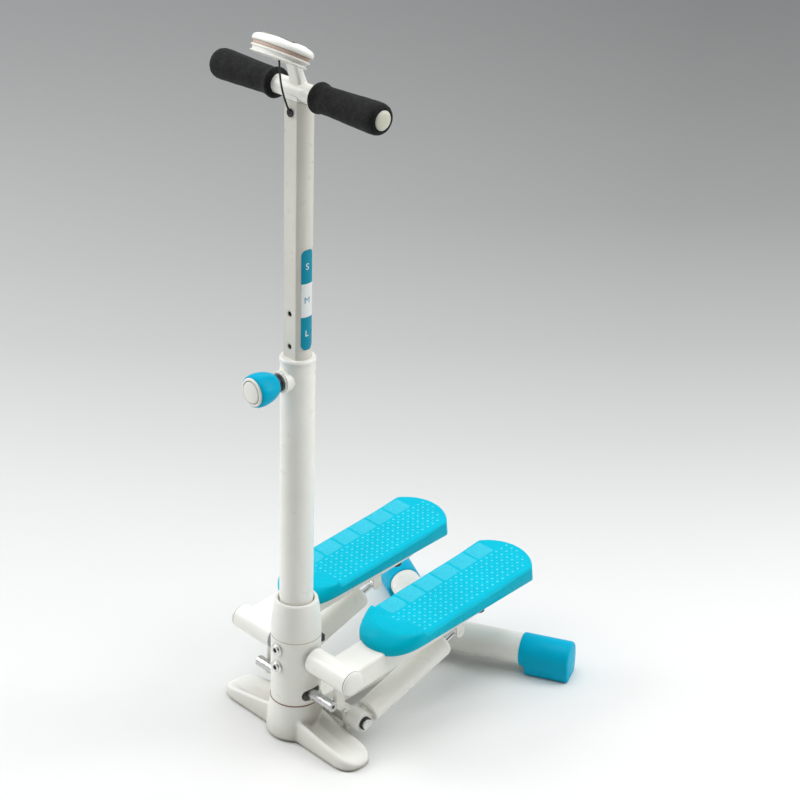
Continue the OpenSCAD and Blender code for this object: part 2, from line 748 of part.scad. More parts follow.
module rod_gland(side) {
    // Black bush that guides the rod, held under the barrel's shoulder
    color(black) on_side(side) cyl_frame() difference() {
        union() {
            ycyl(barrel_bore - 0.02, barrel_out - shoulder_h - 10, barrel_out - shoulder_h - 0.1);
            ycyl(gland_r, barrel_out - shoulder_h - 2, barrel_out + 2);
        }
        ycyl(rod_r + run_gap, barrel_out - 20, barrel_out + 20);
    }
}

module eye_bush(side) {
    // Rubber bush in the lower eye, with a flange outside
    color(black) on_side(side) cyl_frame() difference() {
        union() {
            xcyl(eye_bore, -eye_half - 1, eye_half + 4.8);
            xcyl(11.5, eye_half + 0.02, eye_half + 5);
        }
        xcyl(6 + run_gap, -40, 40);
    }
}

module cylinder_rod(side) {
    color(chrome) on_side(side) cyl_frame() difference() {
        union() {
            ycyl(rod_r, piston_s, rod_len);
            ycyl(barrel_bore - run_gap, piston_s, piston_s + piston_h);
            translate([0, rod_len, 0]) xcyl(rod_eye_r, -rod_eye_half, rod_eye_half);
        }
        translate([0, rod_len, 0]) xcyl(rod_eye_bore, -40, 40);
    }
}

base_frame();
rear_stabiliser();
rear_cap(LEFT);  // rear_cap_left
rear_cap(RIGHT);  // rear_cap_right
front_foot_cover();
front_foot_pads();
collar_cone();
lower_tube();
post_bolts();
post_washers();
pivot_axle();
rocker_pin();
rocker_bar();
cylinder_bolts();
guide_sleeve();
knob_boss();
step_sensor();
upper_tube();
size_label();
handlebar();
grip(LEFT);  // grip_left
grip(RIGHT);  // grip_right
bar_plugs();
top_cap();
console_bracket();
console_back();
console_front();
console_lens();
console_board();
console_button();
console_cable();
cable_grommet();
knob_collar();
knob_body();
knob_face();
knob_pin();
knob_spring();
pedal_arm(LEFT);  // pedal_arm_left
pedal_arm(RIGHT);  // pedal_arm_right
hub_bushes(LEFT);  // hub_bushes_left
hub_bushes(RIGHT);  // hub_bushes_right
hub_cap(LEFT);  // hub_cap_left
hub_cap(RIGHT);  // hub_cap_right
arm_bumper(LEFT);  // arm_bumper_left
arm_bumper(RIGHT);  // arm_bumper_right
pedal(LEFT);  // pedal_left
pedal(RIGHT);  // pedal_right
pedal_screws(LEFT);  // pedal_screws_left
pedal_screws(RIGHT);  // pedal_screws_right
cylinder_pin(LEFT);  // cylinder_pin_left
cylinder_pin(RIGHT);  // cylinder_pin_right
cylinder_barrel(LEFT);  // cylinder_barrel_left
cylinder_barrel(RIGHT);  // cylinder_barrel_right
rod_gland(LEFT);  // rod_gland_left
rod_gland(RIGHT);  // rod_gland_right
eye_bush(LEFT);  // eye_bush_left
eye_bush(RIGHT);  // eye_bush_right
cylinder_rod(LEFT);  // cylinder_rod_left
cylinder_rod(RIGHT);  // cylinder_rod_right
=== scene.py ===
"""Looks of the stepper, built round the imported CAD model.

The CAD keeps every tube, hinge, bolt and cylinder. This script replaces the moulded, foam and
printed parts with finer meshes, gives every part its material, and sets up the studio.
Sizes are in millimetres unless a name ends in _m; MM turns them into Blender's metres.
"""

import json
import math

import bmesh
import bpy
from mathutils import Matrix, Vector, noise


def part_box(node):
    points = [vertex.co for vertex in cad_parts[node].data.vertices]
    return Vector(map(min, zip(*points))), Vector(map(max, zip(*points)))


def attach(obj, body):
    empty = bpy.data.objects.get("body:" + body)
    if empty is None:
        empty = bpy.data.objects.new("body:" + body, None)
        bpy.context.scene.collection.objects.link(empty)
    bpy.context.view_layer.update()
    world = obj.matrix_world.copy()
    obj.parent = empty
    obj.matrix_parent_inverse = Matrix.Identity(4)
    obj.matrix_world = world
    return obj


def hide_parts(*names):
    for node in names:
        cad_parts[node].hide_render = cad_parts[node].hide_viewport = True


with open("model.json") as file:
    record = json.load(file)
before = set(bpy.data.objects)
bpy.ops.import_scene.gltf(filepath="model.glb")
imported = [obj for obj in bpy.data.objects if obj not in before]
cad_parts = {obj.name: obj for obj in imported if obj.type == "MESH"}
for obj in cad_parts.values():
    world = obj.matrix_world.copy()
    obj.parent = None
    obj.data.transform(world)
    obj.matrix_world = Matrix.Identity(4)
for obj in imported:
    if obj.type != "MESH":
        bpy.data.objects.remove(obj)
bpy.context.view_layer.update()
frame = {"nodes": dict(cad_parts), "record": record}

MM = 0.001
LEFT, RIGHT = 1, -1
SIDES = {"left": LEFT, "right": RIGHT}

# ---------------------------------------------------------------- frames taken from the CAD
JOINTS = {joint["name"]: joint for joint in frame["record"]["behaviour"]["joints"]}


def centre(node):
    low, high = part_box(node)
    return (Vector(low) + Vector(high)) / 2


def size(node):
    low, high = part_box(node)
    return Vector(high) - Vector(low)


column_axis = JOINTS["column_height"]["axis"]
COLUMN = Matrix.Rotation(-math.atan2(column_axis[1], column_axis[2]), 4, "X")
HINGE = Vector(JOINTS["step_left"]["pos_m"])
PEDAL_TILT = math.radians(4.7)
ARM = Matrix.Translation(HINGE) @ Matrix.Rotation(PEDAL_TILT, 4, "X")
button_axis = JOINTS["button_press"]["axis"]
CONSOLE_TURN = Matrix.Rotation(-math.atan2(-button_axis[1], -button_axis[2]), 4, "X")


def column_point(point):
    """A world point in the column's own frame, in millimetres."""
    return (COLUMN.inverted() @ Vector(point)) / MM


BAR_T = column_point(centre("handlebar")).z
BAR_O = column_point(centre("handlebar")).y
KNOB_T = column_point(JOINTS["knob_turn"]["pos_m"]).z
UPPER_R = size("upper_tube").x / MM / 2
ARM_X = centre("pedal_left").x / MM
PEDAL_W = size("pedal_left").x / MM

# ---------------------------------------------------------------- mesh helpers


def mirror_x(side):
    return Matrix.Diagonal((side, 1, 1, 1))


def loft(rings, start="flat", end="flat"):
    """A closed body through rings of equal length. Each end is flat, or a fan to a point."""
    bm = bmesh.new()
    rows = [[bm.verts.new(point) for point in ring] for ring in rings]
    count = len(rows[0])
    for lower, upper in zip(rows, rows[1:]):
        for i in range(count):
            j = (i + 1) % count
            bm.faces.new((lower[i], lower[j], upper[j], upper[i]))
    for row, kind in ((rows[0], start), (rows[-1], end)):
        if kind == "flat":
            bm.faces.new(row)
        elif kind != "open":
            tip = bm.verts.new(kind)
            for i in range(count):
                bm.faces.new((row[i], row[(i + 1) % count], tip))
    return bm


def revolve(profile, segments=96):
    """A body of revolution about Z through (radius, height) points. A radius of 0 is a tip."""
    tips = {0: profile[0], -1: profile[-1]}
    inner = [point for point in profile if point[0] > 1e-6]
    rings = [
        [
            Vector((r * math.cos(a), r * math.sin(a), z))
            for a in (2 * math.pi * i / segments for i in range(segments))
        ]
        for r, z in inner
    ]
    ends = [Vector((0, 0, z)) if r <= 1e-6 else "flat" for r, z in (tips[0], tips[-1])]
    return loft(rings, ends[0], ends[1])


def ring_body(profile, segments=96):
    """A closed ring of revolution about Z through (radius, height) points."""
    bm = bmesh.new()
    rows = []
    for i in range(segments):
        a = 2 * math.pi * i / segments
        rows.append([bm.verts.new((r * math.cos(a), r * math.sin(a), z)) for r, z in profile])
    for i, row in enumerate(rows):
        after = rows[(i + 1) % segments]
        for k in range(len(row)):
            n = (k + 1) % len(row)
            bm.faces.new((row[k], row[n], after[n], after[k]))
    return bm


def hoop(inner_r, outer_r, low, high):
    """A plain ring about Z, rectangular in section."""
    return ring_body([(inner_r, low), (outer_r, low), (outer_r, high), (inner_r, high)], 96)


def fillet(points, radius, steps=4):
    """The open profile with its inner corners rounded."""
    out = [Vector(points[0])]
    for before, corner, after in zip(points, points[1:], points[2:]):
        before, corner, after = Vector(before), Vector(corner), Vector(after)
        to_before, to_after = before - corner, after - corner
        cut = min(radius, to_before.length * 0.45, to_after.length * 0.45)
        p0 = corner + to_before.normalized() * cut
        p1 = corner + to_after.normalized() * cut
        for i in range(steps + 1):
            t = i / steps
            out.append(p0 * (1 - t) ** 2 + corner * 2 * t * (1 - t) + p1 * t**2)
    out.append(Vector(points[-1]))
    return [tuple(point) for point in out]


def rounded_rect(half_x, half_y, radius, count=48):
    """Points round a rectangle with round corners, in equal steps of angle per corner."""
    points = []
    for sx, sy, start in ((1, 1, 0), (-1, 1, 90), (-1, -1, 180), (1, -1, 270)):
        for i in range(count // 4):
            a = math.radians(start + 90 * i / (count // 4 - 1))
            points.append(
                (
                    sx * (half_x - radius) + radius * math.cos(a),
                    sy * (half_y - radius) + radius * math.sin(a),
                )
            )
    return points


def oval(half_x, half_y, count=96):
    return [
        (half_x * math.cos(2 * math.pi * i / count), half_y * math.sin(2 * math.pi * i / count))
        for i in range(count)
    ]


def join(*parts):
    """One bmesh from several."""
    whole = bmesh.new()
    for part in parts:
        mesh = bpy.data.meshes.new("part")
        part.to_mesh(mesh)
        part.free()
        whole.from_mesh(mesh)
        bpy.data.meshes.remove(mesh)
    return whole


def smooth_step(low, high, value):
    t = min(max((value - low) / (high - low), 0), 1)
    return t * t * (3 - 2 * t)


def blend_value(a, b, t):
    return a + (b - a) * t


def add_piece(name, bm, matrix, body, material, stands_for=(), crease=35):
    """Turns a bmesh in millimetres, placed by a matrix in metres, into a finished piece."""
    bmesh.ops.transform(bm, matrix=matrix @ Matrix.Scale(MM, 4), verts=bm.verts)
    bmesh.ops.recalc_face_normals(bm, faces=bm.faces)
    mesh = bpy.data.meshes.new(name)
    bm.to_mesh(mesh)
    bm.free()
    mesh.shade_smooth()
    mesh.set_sharp_from_angle(angle=math.radians(crease))
    obj = bpy.data.objects.new(name, mesh)
    bpy.context.scene.collection.objects.link(obj)
    obj.data.materials.append(material)
    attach(obj, body)
    if stands_for:
        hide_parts(*stands_for)
    return obj


def apply_modifiers(obj):
    """Bakes the object's modifiers into its mesh."""
    graph = bpy.context.evaluated_depsgraph_get()
    mesh = bpy.data.meshes.new_from_object(obj.evaluated_get(graph))
    obj.modifiers.clear()
    obj.data = mesh


# ---------------------------------------------------------------- materials


class Nodes:
    """Short-hand for one material's node tree."""

    def __init__(self, name):
        self.material = bpy.data.materials.new(name)
        self.material.use_nodes = True
        self.tree = self.material.node_tree
        self.shader = self.tree.nodes["Principled BSDF"]
        self.place = self.tree.nodes.new("ShaderNodeTexCoord").outputs["Object"]

    def add(self, kind, inputs=None, **settings):
        node = self.tree.nodes.new(kind)
        for key, value in settings.items():
            setattr(node, key, value)
        for key, value in (inputs or {}).items():
            if isinstance(value, bpy.types.NodeSocket):
                self.tree.links.new(value, node.inputs[key])
            else:
                node.inputs[key].default_value = value
        return node

    def noise(self, scale, detail=3.0, rough=0.5):
        return self.add(
            "ShaderNodeTexNoise",
            {"Vector": self.place, "Scale": scale, "Detail": detail, "Roughness": rough},
        ).outputs["Fac"]

    def span(self, value, low, high, from_low=0.3, from_high=0.7):
        return self.add(
            "ShaderNodeMapRange",
            {"Value": value, "From Min": from_low, "From Max": from_high, "To Min": low, "To Max": high},
        ).outputs["Result"]

    def mix(self, factor, a, b, mode="MIX"):
        node = self.add("ShaderNodeMix", data_type="RGBA", blend_type=mode)
        for index, value in ((0, factor), (6, a), (7, b)):
            if isinstance(value, bpy.types.NodeSocket):
                self.tree.links.new(value, node.inputs[index])
            else:
                node.inputs[index].default_value = value
        return node.outputs[2]

    def bump(self, height, depth_m, strength=1.0, normal=None):
        inputs = {"Height": height, "Distance": depth_m, "Strength": strength}
        if normal is not None:
            inputs["Normal"] = normal
        return self.add("ShaderNodeBump", inputs).outputs["Normal"]

    def set(self, **inputs):
        for key, value in inputs.items():
            name = key.replace("_", " ")
            if isinstance(value, bpy.types.NodeSocket):
                self.tree.links.new(value, self.shader.inputs[name])
            else:
                self.shader.inputs[name].default_value = value


def rgba(colour, gain=1.0):
    return (colour[0] * gain, colour[1] * gain, colour[2] * gain, 1.0)


def surface(name, colour, rough, variation=0.05, grain=900, grain_depth=2e-5, metal=0.0, coat=0.0,
            soft=0.0, rough_span=0.08, wear=None, edge=0.0006, shine=0.5, drift_scale=14):
    """A moulded or painted surface: drifting colour, patchy gloss, fine grain and worn edges."""
    n = Nodes(name)
    drift = n.span(n.noise(drift_scale, 3), 0.0, 1.0)
    base = n.mix(drift, rgba(colour, 1 - variation), rgba(colour, 1 + variation))
    bevel = n.add("ShaderNodeBevel", {"Radius": edge}, samples=3).outputs["Normal"]
    if wear:
        geometry = n.add("ShaderNodeNewGeometry")
        across = n.add(
            "ShaderNodeVectorMath",
            {0: bevel, 1: geometry.outputs["Normal"]},
            operation="DOT_PRODUCT",
        ).outputs["Value"]
        on_edge = n.span(across, 1.0, 0.0, 0.9, 0.995)
        patchy = n.span(n.noise(220, 4), 0.0, 1.0, 0.42, 0.62)
        amount = n.add("ShaderNodeMath", {0: on_edge, 1: patchy}, operation="MULTIPLY").outputs[0]
        amount = n.add("ShaderNodeMath", {0: amount, 1: 0.5}, operation="MULTIPLY").outputs[0]
        base = n.mix(amount, base, rgba(wear))
    n.set(
        Base_Color=base,
        Metallic=metal,
        Roughness=n.span(n.noise(60, 4), max(rough - rough_span, 0.03), rough + rough_span),
        Normal=n.bump(n.noise(grain, 2), grain_depth, normal=bevel),
        Coat_Weight=coat,
        Coat_Roughness=0.12,
        Specular_IOR_Level=shine,
    )
    if soft:
        n.set(Subsurface_Weight=soft, Subsurface_Radius=(0.004, 0.006, 0.008), Subsurface_Scale=1.0)
    return n.material


def plastic_with_painted_shade(name):
    """The foot's plastic with painted shade: a little greyer and warmer in its hollows."""
    n = Nodes(name)
    bevel = n.add("ShaderNodeBevel", {"Radius": 0.0008}, samples=3).outputs["Normal"]
    open_sky = n.add("ShaderNodeAmbientOcclusion", {"Distance": 0.09}, samples=8).outputs["AO"]
    drift = n.mix(n.span(n.noise(14, 3), 0.0, 1.0), rgba(PLASTIC_WHITE, 0.975), rgba(PLASTIC_WHITE, 1.025))
    n.set(
        # Olive grey where ambient occlusion finds hollows: painted shade, not a colour of the plastic.
        Base_Color=n.mix(n.span(open_sky, 0.0, 1.0, 0.4, 0.82), (0.40, 0.38, 0.31, 1), drift),
        Roughness=n.span(n.noise(60, 4), 0.34, 0.5),
        Normal=n.bump(n.noise(1100, 2), 2.5e-5, normal=bevel),
    )
    return n.material


def two_tone_bushes(name):
    """The hubs' outer bushes are blue, and those beside the post grey."""
    n = Nodes(name)
    split = n.add("ShaderNodeSeparateXYZ", {0: n.place})
    across = n.add("ShaderNodeMath", {0: split.outputs["X"]}, operation="ABSOLUTE").outputs[0]
    n.set(
        Base_Color=n.mix(n.span(across, 0.0, 1.0, 0.094, 0.096), rgba(BUSH_GREY), rgba(BUSH_BLUE)),
        Roughness=n.span(n.noise(60, 4), 0.35, 0.5),
        Normal=n.bump(n.noise(900, 2), 2e-5),
    )
    return n.material


def foam(name):
    """Closed-cell foam: matt black with open pores and a faint grey dust."""
    n = Nodes(name)
    pores = n.add("ShaderNodeTexVoronoi", {"Vector": n.place, "Scale": 900.0}).outputs["Distance"]
    dust = n.span(n.noise(330, 5, 0.65), 0.0, 1.0, 0.42, 0.68)
    base = n.mix(dust, (0.004, 0.004, 0.004, 1), (0.016, 0.016, 0.016, 1))
    height = n.add(
        "ShaderNodeMath", {0: pores, 1: n.noise(420, 4, 0.7)}, operation="ADD"
    ).outputs[0]
    n.set(
        Base_Color=base,
        Roughness=n.span(n.noise(90), 0.68, 0.86),
        Normal=n.bump(height, 0.0005, 0.8),
        Specular_IOR_Level=0.2,
        Sheen_Weight=0.02,
        Sheen_Roughness=0.4,
    )
    return n.material


def chrome(name, rough=0.08, colour=(0.83, 0.84, 0.86)):
    n = Nodes(name)
    bevel = n.add("ShaderNodeBevel", {"Radius": 0.0005}, samples=3).outputs["Normal"]
    n.set(
        Base_Color=n.mix(n.span(n.noise(40), 0, 1), rgba(colour, 0.94), rgba(colour)),
        Metallic=1.0,
        Roughness=n.span(n.noise(150, 5), rough * 0.7, rough * 1.6),
        Normal=n.bump(n.noise(600, 2), 6e-6, normal=bevel),
    )
    return n.material


def bolt_plate(name):
    """Satin plating, with painted shade making it dark inside the sockets of the two bolts on the post."""
    n = Nodes(name)
    flat = n.add("ShaderNodeVectorMath", {0: n.place, 1: (1, 0, 1)}, operation="MULTIPLY").outputs[0]
    distances = []
    for t in BOLT_TS:
        middle = COLUMN @ Vector((0, -41 * MM, t * MM))
        target = (middle.x, 0, middle.z)
        away = n.add("ShaderNodeVectorMath", {0: flat, 1: target}, operation="DISTANCE")
        distances.append(away.outputs["Value"])
    nearest = n.add("ShaderNodeMath", {0: distances[0], 1: distances[1]}, operation="MINIMUM").outputs[0]
    outside = n.span(nearest, 0.0, 1.0, SOCKET_R * MM + 0.0001, SOCKET_R * MM + 0.0004)
    bevel = n.add("ShaderNodeBevel", {"Radius": 0.0006}, samples=3).outputs["Normal"]
    n.set(
        # Near black within each socket's radius: painted shade in the recess.
        Base_Color=n.mix(outside, (0.02, 0.02, 0.02, 1), (0.74, 0.74, 0.72, 1)),
        Metallic=outside,
        Roughness=n.span(n.noise(150, 5), 0.2, 0.34),
        Normal=n.bump(n.noise(600, 2), 6e-6, normal=bevel),
    )
    return n.material


BOLT_TS = (142, 176)
SOCKET_R = 4.0
BUSH_GREY = (0.40, 0.44, 0.46)
BUSH_BLUE = (0.015, 0.12, 0.19)
WARM_WHITE = (0.86, 0.85, 0.79)
PLASTIC_WHITE = (0.84, 0.83, 0.78)
CYAN = (0.0, 0.46, 0.61)
DEEP_BLUE = (0.0, 0.41, 0.62)
LABEL_BLUE = (0.0, 0.26, 0.38)
# Brown of the thin lines in the gaps at the collar and foot cover: painted shadow.
SHADOW_LINE_BROWN = (0.28, 0.16, 0.08)

paint = surface("white_paint", WARM_WHITE, 0.34, 0.025, 1400, 1.2e-5, coat=0.25, wear=(0.55, 0.53, 0.48))
moulded = surface("white_plastic", PLASTIC_WHITE, 0.42, 0.025, 1100, 2.5e-5, edge=0.0008)
# The post's white paint made darker and warmer for the upper tube: painted shade.
shaded_tube_paint = surface("shaded_tube_paint", (0.685, 0.67, 0.60), 0.34, 0.025, 1400, 1.2e-5, coat=0.2, edge=0.006)
# Tan on the console's white underside band: painted shade.
underside_painted_shade = surface("console_painted_shade", (0.56, 0.42, 0.33), 0.5, 0.05, 700, 4e-5)
foot_plastic_painted_shade = plastic_with_painted_shade("foot_plastic_painted_shade")
moulded_grey = surface("bone_plastic", (0.60, 0.60, 0.49), 0.45, 0.05, 700, 8e-5, edge=0.0006)
pedal_skin = surface("cyan_pedal", CYAN, 0.32, 0.04, 700, 1.5e-5, coat=0.04, edge=0.0012, shine=0.05)
pedal_dots = surface("cyan_dots", (0.06, 0.63, 0.76), 0.32, 0.05, 900, 1e-5, coat=0.1, shine=0.3)
pedal_patch = surface("cyan_patch", (0.025, 0.50, 0.645), 0.42, 0.16, 420, 2.5e-4,
                      shine=0.25, drift_scale=420)
rubber_blue = surface("blue_rubber", DEEP_BLUE, 0.38, 0.05, 1000, 3e-5, coat=0.03, edge=0.001, shine=0.05)
plastic_blue = surface("blue_plastic", (0.0, 0.30, 0.52), 0.35, 0.05, 1000, 1e-5)
foam_black = foam("grip_foam")
bush_ends = two_tone_bushes("bush_ends")
rubber_black = surface("black_rubber", (0.018, 0.018, 0.018), 0.6, 0.2, 800, 4e-5)
plastic_black = surface("black_plastic", (0.022, 0.022, 0.024), 0.38, 0.15, 900, 2e-5)
chromed = chrome("chrome_plate")
steel = chrome("zinc_steel", 0.26, (0.62, 0.62, 0.61))
satin = bolt_plate("satin_plate")
label_blue = surface("label_blue", LABEL_BLUE, 0.34, 0.04, 1500, 6e-6, coat=0.03, shine=0.12)
label_white = surface("label_white", (0.78, 0.8, 0.8), 0.32, 0.03, 1500, 6e-6, coat=0.2)
window_dark = surface("display_window", (0.012, 0.014, 0.013), 0.1, 0.1, 900, 2e-6, coat=1.0)
board_green = surface("circuit_board", (0.01, 0.13, 0.05), 0.4, 0.15, 700, 3e-5)
# Brown for the thin rings at the joints: painted shadow in the gaps.
shadow_line_paint = surface("painted_gap_shade", SHADOW_LINE_BROWN, 0.6, 0.2, 600, 5e-5)

SLOT_MATERIALS = {
    "white_paint": paint,
    "white_plastic": moulded,
    "cyan_pedal": pedal_skin,
    "blue_rubber": rubber_blue,
    "blue_plastic": plastic_blue,
    "foam": foam_black,
    "black_rubber": rubber_black,
    "black_plastic": plastic_black,
    "chrome": chromed,
    "steel": steel,
    "label_film": label_blue,
    "display_window": window_dark,
    "circuit_board": board_green,
}
NODE_MATERIALS = {
    "hub_bushes_left": bush_ends, "hub_bushes_right": bush_ends, "upper_tube": shaded_tube_paint,
    "post_bolts": satin, "post_washers": satin, "cylinder_bolts": satin,
}
for part in frame["record"]["subparts"]:
    mesh = frame["nodes"][part["node"]].data
    mesh.materials.clear()
    look = NODE_MATERIALS.get(part["node"], SLOT_MATERIALS[part["material_slot"]])
    mesh.materials.append(look)

# ---------------------------------------------------------------- foam grips
GRIP_IN = 45
GRIP_END = 185
GRIP_R = 24.5
BAR_R = 15


def grip_profile():
    """Outer line of a grip from its flared inner end to the round outer end."""
    knots = [
        (0, BAR_R + 0.3), (0.2, GRIP_R - 3.4), (1.6, GRIP_R - 1.2), (4.5, GRIP_R - 0.1),
        (8, GRIP_R - 0.6), (12, GRIP_R - 2.0), (17, GRIP_R - 2.9), (30, GRIP_R - 2.9),
        (60, GRIP_R - 2.0), (95, GRIP_R - 0.7), (122, GRIP_R - 0.1), (130, GRIP_R - 0.2),
        (135, GRIP_R - 1.5), (138.4, GRIP_R - 3.9), (139.8, GRIP_R - 6.4), (140, BAR_R + 0.6),
        (139.2, BAR_R + 0.1),
    ]
    dense = []
    for (x0, r0), (x1, r1) in zip(knots, knots[1:]):
        steps = max(1, round((x1 - x0) / 2.2))
        dense += [(r0 + (r1 - r0) * smooth_mid(i / steps), x0 + (x1 - x0) * i / steps) for i in range(steps)]
    dense.append((knots[-1][1], knots[-1][0]))
    return dense


def smooth_mid(t):
    """Half straight and half eased, from 0 to 1."""
    return 0.5 * t + 0.5 * t * t * (3 - 2 * t)


for name, side in SIDES.items():
    bm = ring_body(grip_profile() + [(BAR_R + 0.1, 70), (BAR_R + 0.1, 2)], 128)
    for vert in bm.verts:
        radius = math.hypot(vert.co.x, vert.co.y)
        if radius > BAR_R + 0.7:
            wobble = noise.noise(vert.co * 0.06) * 0.35 + noise.noise(vert.co * 0.35) * 0.16
            vert.co.x += vert.co.x / radius * wobble
            vert.co.y += vert.co.y / radius * wobble
    place = COLUMN @ Matrix.Translation(Vector((side * GRIP_IN, BAR_O, BAR_T)) * MM)
    place = place @ Matrix.Rotation(side * math.pi / 2, 4, "Y")
    add_piece(f"foam_grip_{name}", bm, place, "upper_column", foam_black, [f"grip_{name}"], 60)

    plug = revolve(fillet([(BAR_R - 2.1, -3), (BAR_R - 2.1, 0.1), (BAR_R - 0.7, 0.1), (BAR_R - 0.9, 1.1),
                           (BAR_R - 4, 2.6), (5, 3.4), (0, 3.5)], 1.2))
    place = COLUMN @ Matrix.Translation(Vector((side * GRIP_END, BAR_O, BAR_T)) * MM)
    place = place @ Matrix.Rotation(side * math.pi / 2, 4, "Y")
    add_piece(f"bar_end_{name}", plug, place, "upper_column", moulded_grey)
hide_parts("bar_plugs")

# ---------------------------------------------------------------- pedals
TOE_V = 73
TOE_END_V = 142
HEEL_V = 408.5
HEEL_RISE = 31
DECK_W = 30.4
CAP_RISE = 7.0
HALF = PEDAL_W / 2


def pedal_outline(count=360):
    """Points round the pedal in plan, from the inner rear corner past the toe, evenly spaced."""
    corner = 5
    raw = []
    for i in range(61):
        a = math.pi + math.pi * i / 60
        raw.append(Vector((HALF * math.cos(a), TOE_END_V + (TOE_END_V - TOE_V) * math.sin(a))))
    heel_r = (HALF**2 + HEEL_RISE**2) / (2 * HEEL_RISE)
    middle_v = HEEL_V + HEEL_RISE - heel_r
    start = math.acos((HALF - corner) / (heel_r - corner))
    raw.append(Vector((HALF, HEEL_V - 60)))
    round_v = corner_v(heel_r, middle_v, corner)
    for i in range(9):
        a = start * i / 8
        raw.append(Vector((HALF - corner + corner * math.cos(a), round_v + corner * math.sin(a))))
    for i in range(1, 30):
        a = start + (math.pi - 2 * start) * i / 30
        raw.append(Vector((heel_r * math.cos(a), middle_v + heel_r * math.sin(a))))
    for i in range(9):
        a = math.pi - start + start * i / 8
        raw.append(Vector((corner - HALF + corner * math.cos(a), round_v + corner * math.sin(a))))
    return even_steps(raw, count)


def corner_v(heel_r, middle_v, corner):
    """Where the centre of a rear corner's round lies along the pedal."""
    return middle_v + math.sqrt((heel_r - corner) ** 2 - (HALF - corner) ** 2)


def even_steps(points, count):
    """The closed polyline resampled at equal steps."""
    closed = points + [points[0]]
    lengths = [0.0]
    for a, b in zip(closed, closed[1:]):
        lengths.append(lengths[-1] + (b - a).length)
    out, k = [], 0
    for i in range(count):
        target = lengths[-1] * i / count
        while lengths[k + 1] < target:
            k += 1
        t = (target - lengths[k]) / (lengths[k + 1] - lengths[k])
        out.append(closed[k].lerp(closed[k + 1], t))
    return out


def skirt_w(v):
    """Height of the pedal's lower edge."""
    if v < TOE_END_V:
        return blend_value(6.4, 13.2, smooth_step(TOE_V, TOE_END_V - 5, v))
    return blend_value(13.2, 2.7, (v - TOE_END_V) / (HEEL_V - TOE_END_V))


def cap_line(a):
    """Where the raised toe ends, across the pedal: a shallow wave that is longest at positive a."""
    notch = 6 * math.exp(-(((a + 27) / 12) ** 2))
    return 138 - notch + 11 * smooth_step(-8, 22, a) + 3 * smooth_step(-48, -66, a)


def toe_amount(v):
    return 1 - smooth_step(TOE_V + 12, TOE_END_V - 4, v)


def pedal_top(a, v, depth):
    """Height of the pedal's upper surface, depth being the distance in from its outline."""
    round_r = blend_value(8.0, 3.0, smooth_step(HEEL_V - 70, HEEL_V + 5, v))
    drop = 1 - math.sqrt(max(0.0, 1 - (1 - min(depth, round_r) / round_r) ** 2))
    deck = DECK_W - 0.75 * round_r * drop
    cap_r = blend_value(6.0, 46.0, toe_amount(v))
    cap_low = blend_value(21.0, 14.5, toe_amount(v))
    rise = math.sqrt(max(0.0, 1 - (1 - min(depth, cap_r) / cap_r) ** 2))
    horn = 1.6 * math.exp(-(((a + 58) / 14) ** 2) - (((v - 132) / 12) ** 2)) * smooth_step(1, 8, depth)
    cap = cap_low + (DECK_W + CAP_RISE - cap_low) * rise + horn
    return blend_value(cap, deck, smooth_step(cap_line(a) - 1.6, cap_line(a) + 1.6, v))


def in_from_outline(a, v):
    """Roughly how far a plan point lies inside the pedal's outline."""
    side_gap = HALF - abs(a)
    if v < TOE_END_V:
        reach = math.hypot(a / HALF, (TOE_END_V - v) / (TOE_END_V - TOE_V))
        return (1 - reach) * HALF
    heel_r = (HALF**2 + HEEL_RISE**2) / (2 * HEEL_RISE)
    heel_gap = heel_r - math.hypot(a, v - (HEEL_V + HEEL_RISE - heel_r))
    return min(side_gap, heel_gap) if v > HEEL_V - 60 else side_gap


def pedal_rings():
    """Rings from the pedal's underside round its edge to its middle: across, along, up."""
    outline = pedal_outline()
    spine = [Vector((0, min(max(p.y, TOE_END_V), HEEL_V - 30))) for p in outline]
    to_spine = 65
    inward = [0, 0.12, 0.4, 0.9, 1.7, 2.8, 4.2, 5.8, 7.6, 9.6, *range(12, 64, 3), to_spine]
    rings = []
    for depth in (22, 10, 3.2):
        level = DECK_W - 4 if depth > 3.2 else None
        rings.append([inset(p, m, depth, level) for p, m in zip(outline, spine)])
    rings.append([inset(p, m, 2.6, None, 0.0) for p, m in zip(outline, spine)])
    rings.append([inset(p, m, 0.5, None, 0.0) for p, m in zip(outline, spine)])
    rings.append([inset(p, m, -0.3, None, 1.2) for p, m in zip(outline, spine)])
    for step in inward:
        ring = []
        for p, m in zip(outline, spine):
            reach = (m - p).length
            t = step / to_spine
            q = p.lerp(m, t)
            inside = reach * t if reach < 70 else in_from_outline(q.x, q.y)
            ring.append(Vector((q.x, q.y, pedal_top(q.x, q.y, inside))))
        rings.append(ring)
    return rings


def inset(point, middle, depth, level, lift=0.0):
    """An outline point moved in by depth, at a level or just over the lower edge."""
    direction = (middle - point).normalized()
    q = point + direction * depth
    return Vector((q.x, q.y, skirt_w(point.y) + lift if level is None else level))


def pedal_mesh():
    """The shell as one body, whose last ring folds flat onto the line down its middle."""
    bm = loft(pedal_rings(), "flat", "open")
    bmesh.ops.remove_doubles(bm, verts=bm.verts, dist=0.02)
    bmesh.ops.dissolve_degenerate(bm, edges=bm.edges, dist=0.01)
    return bm


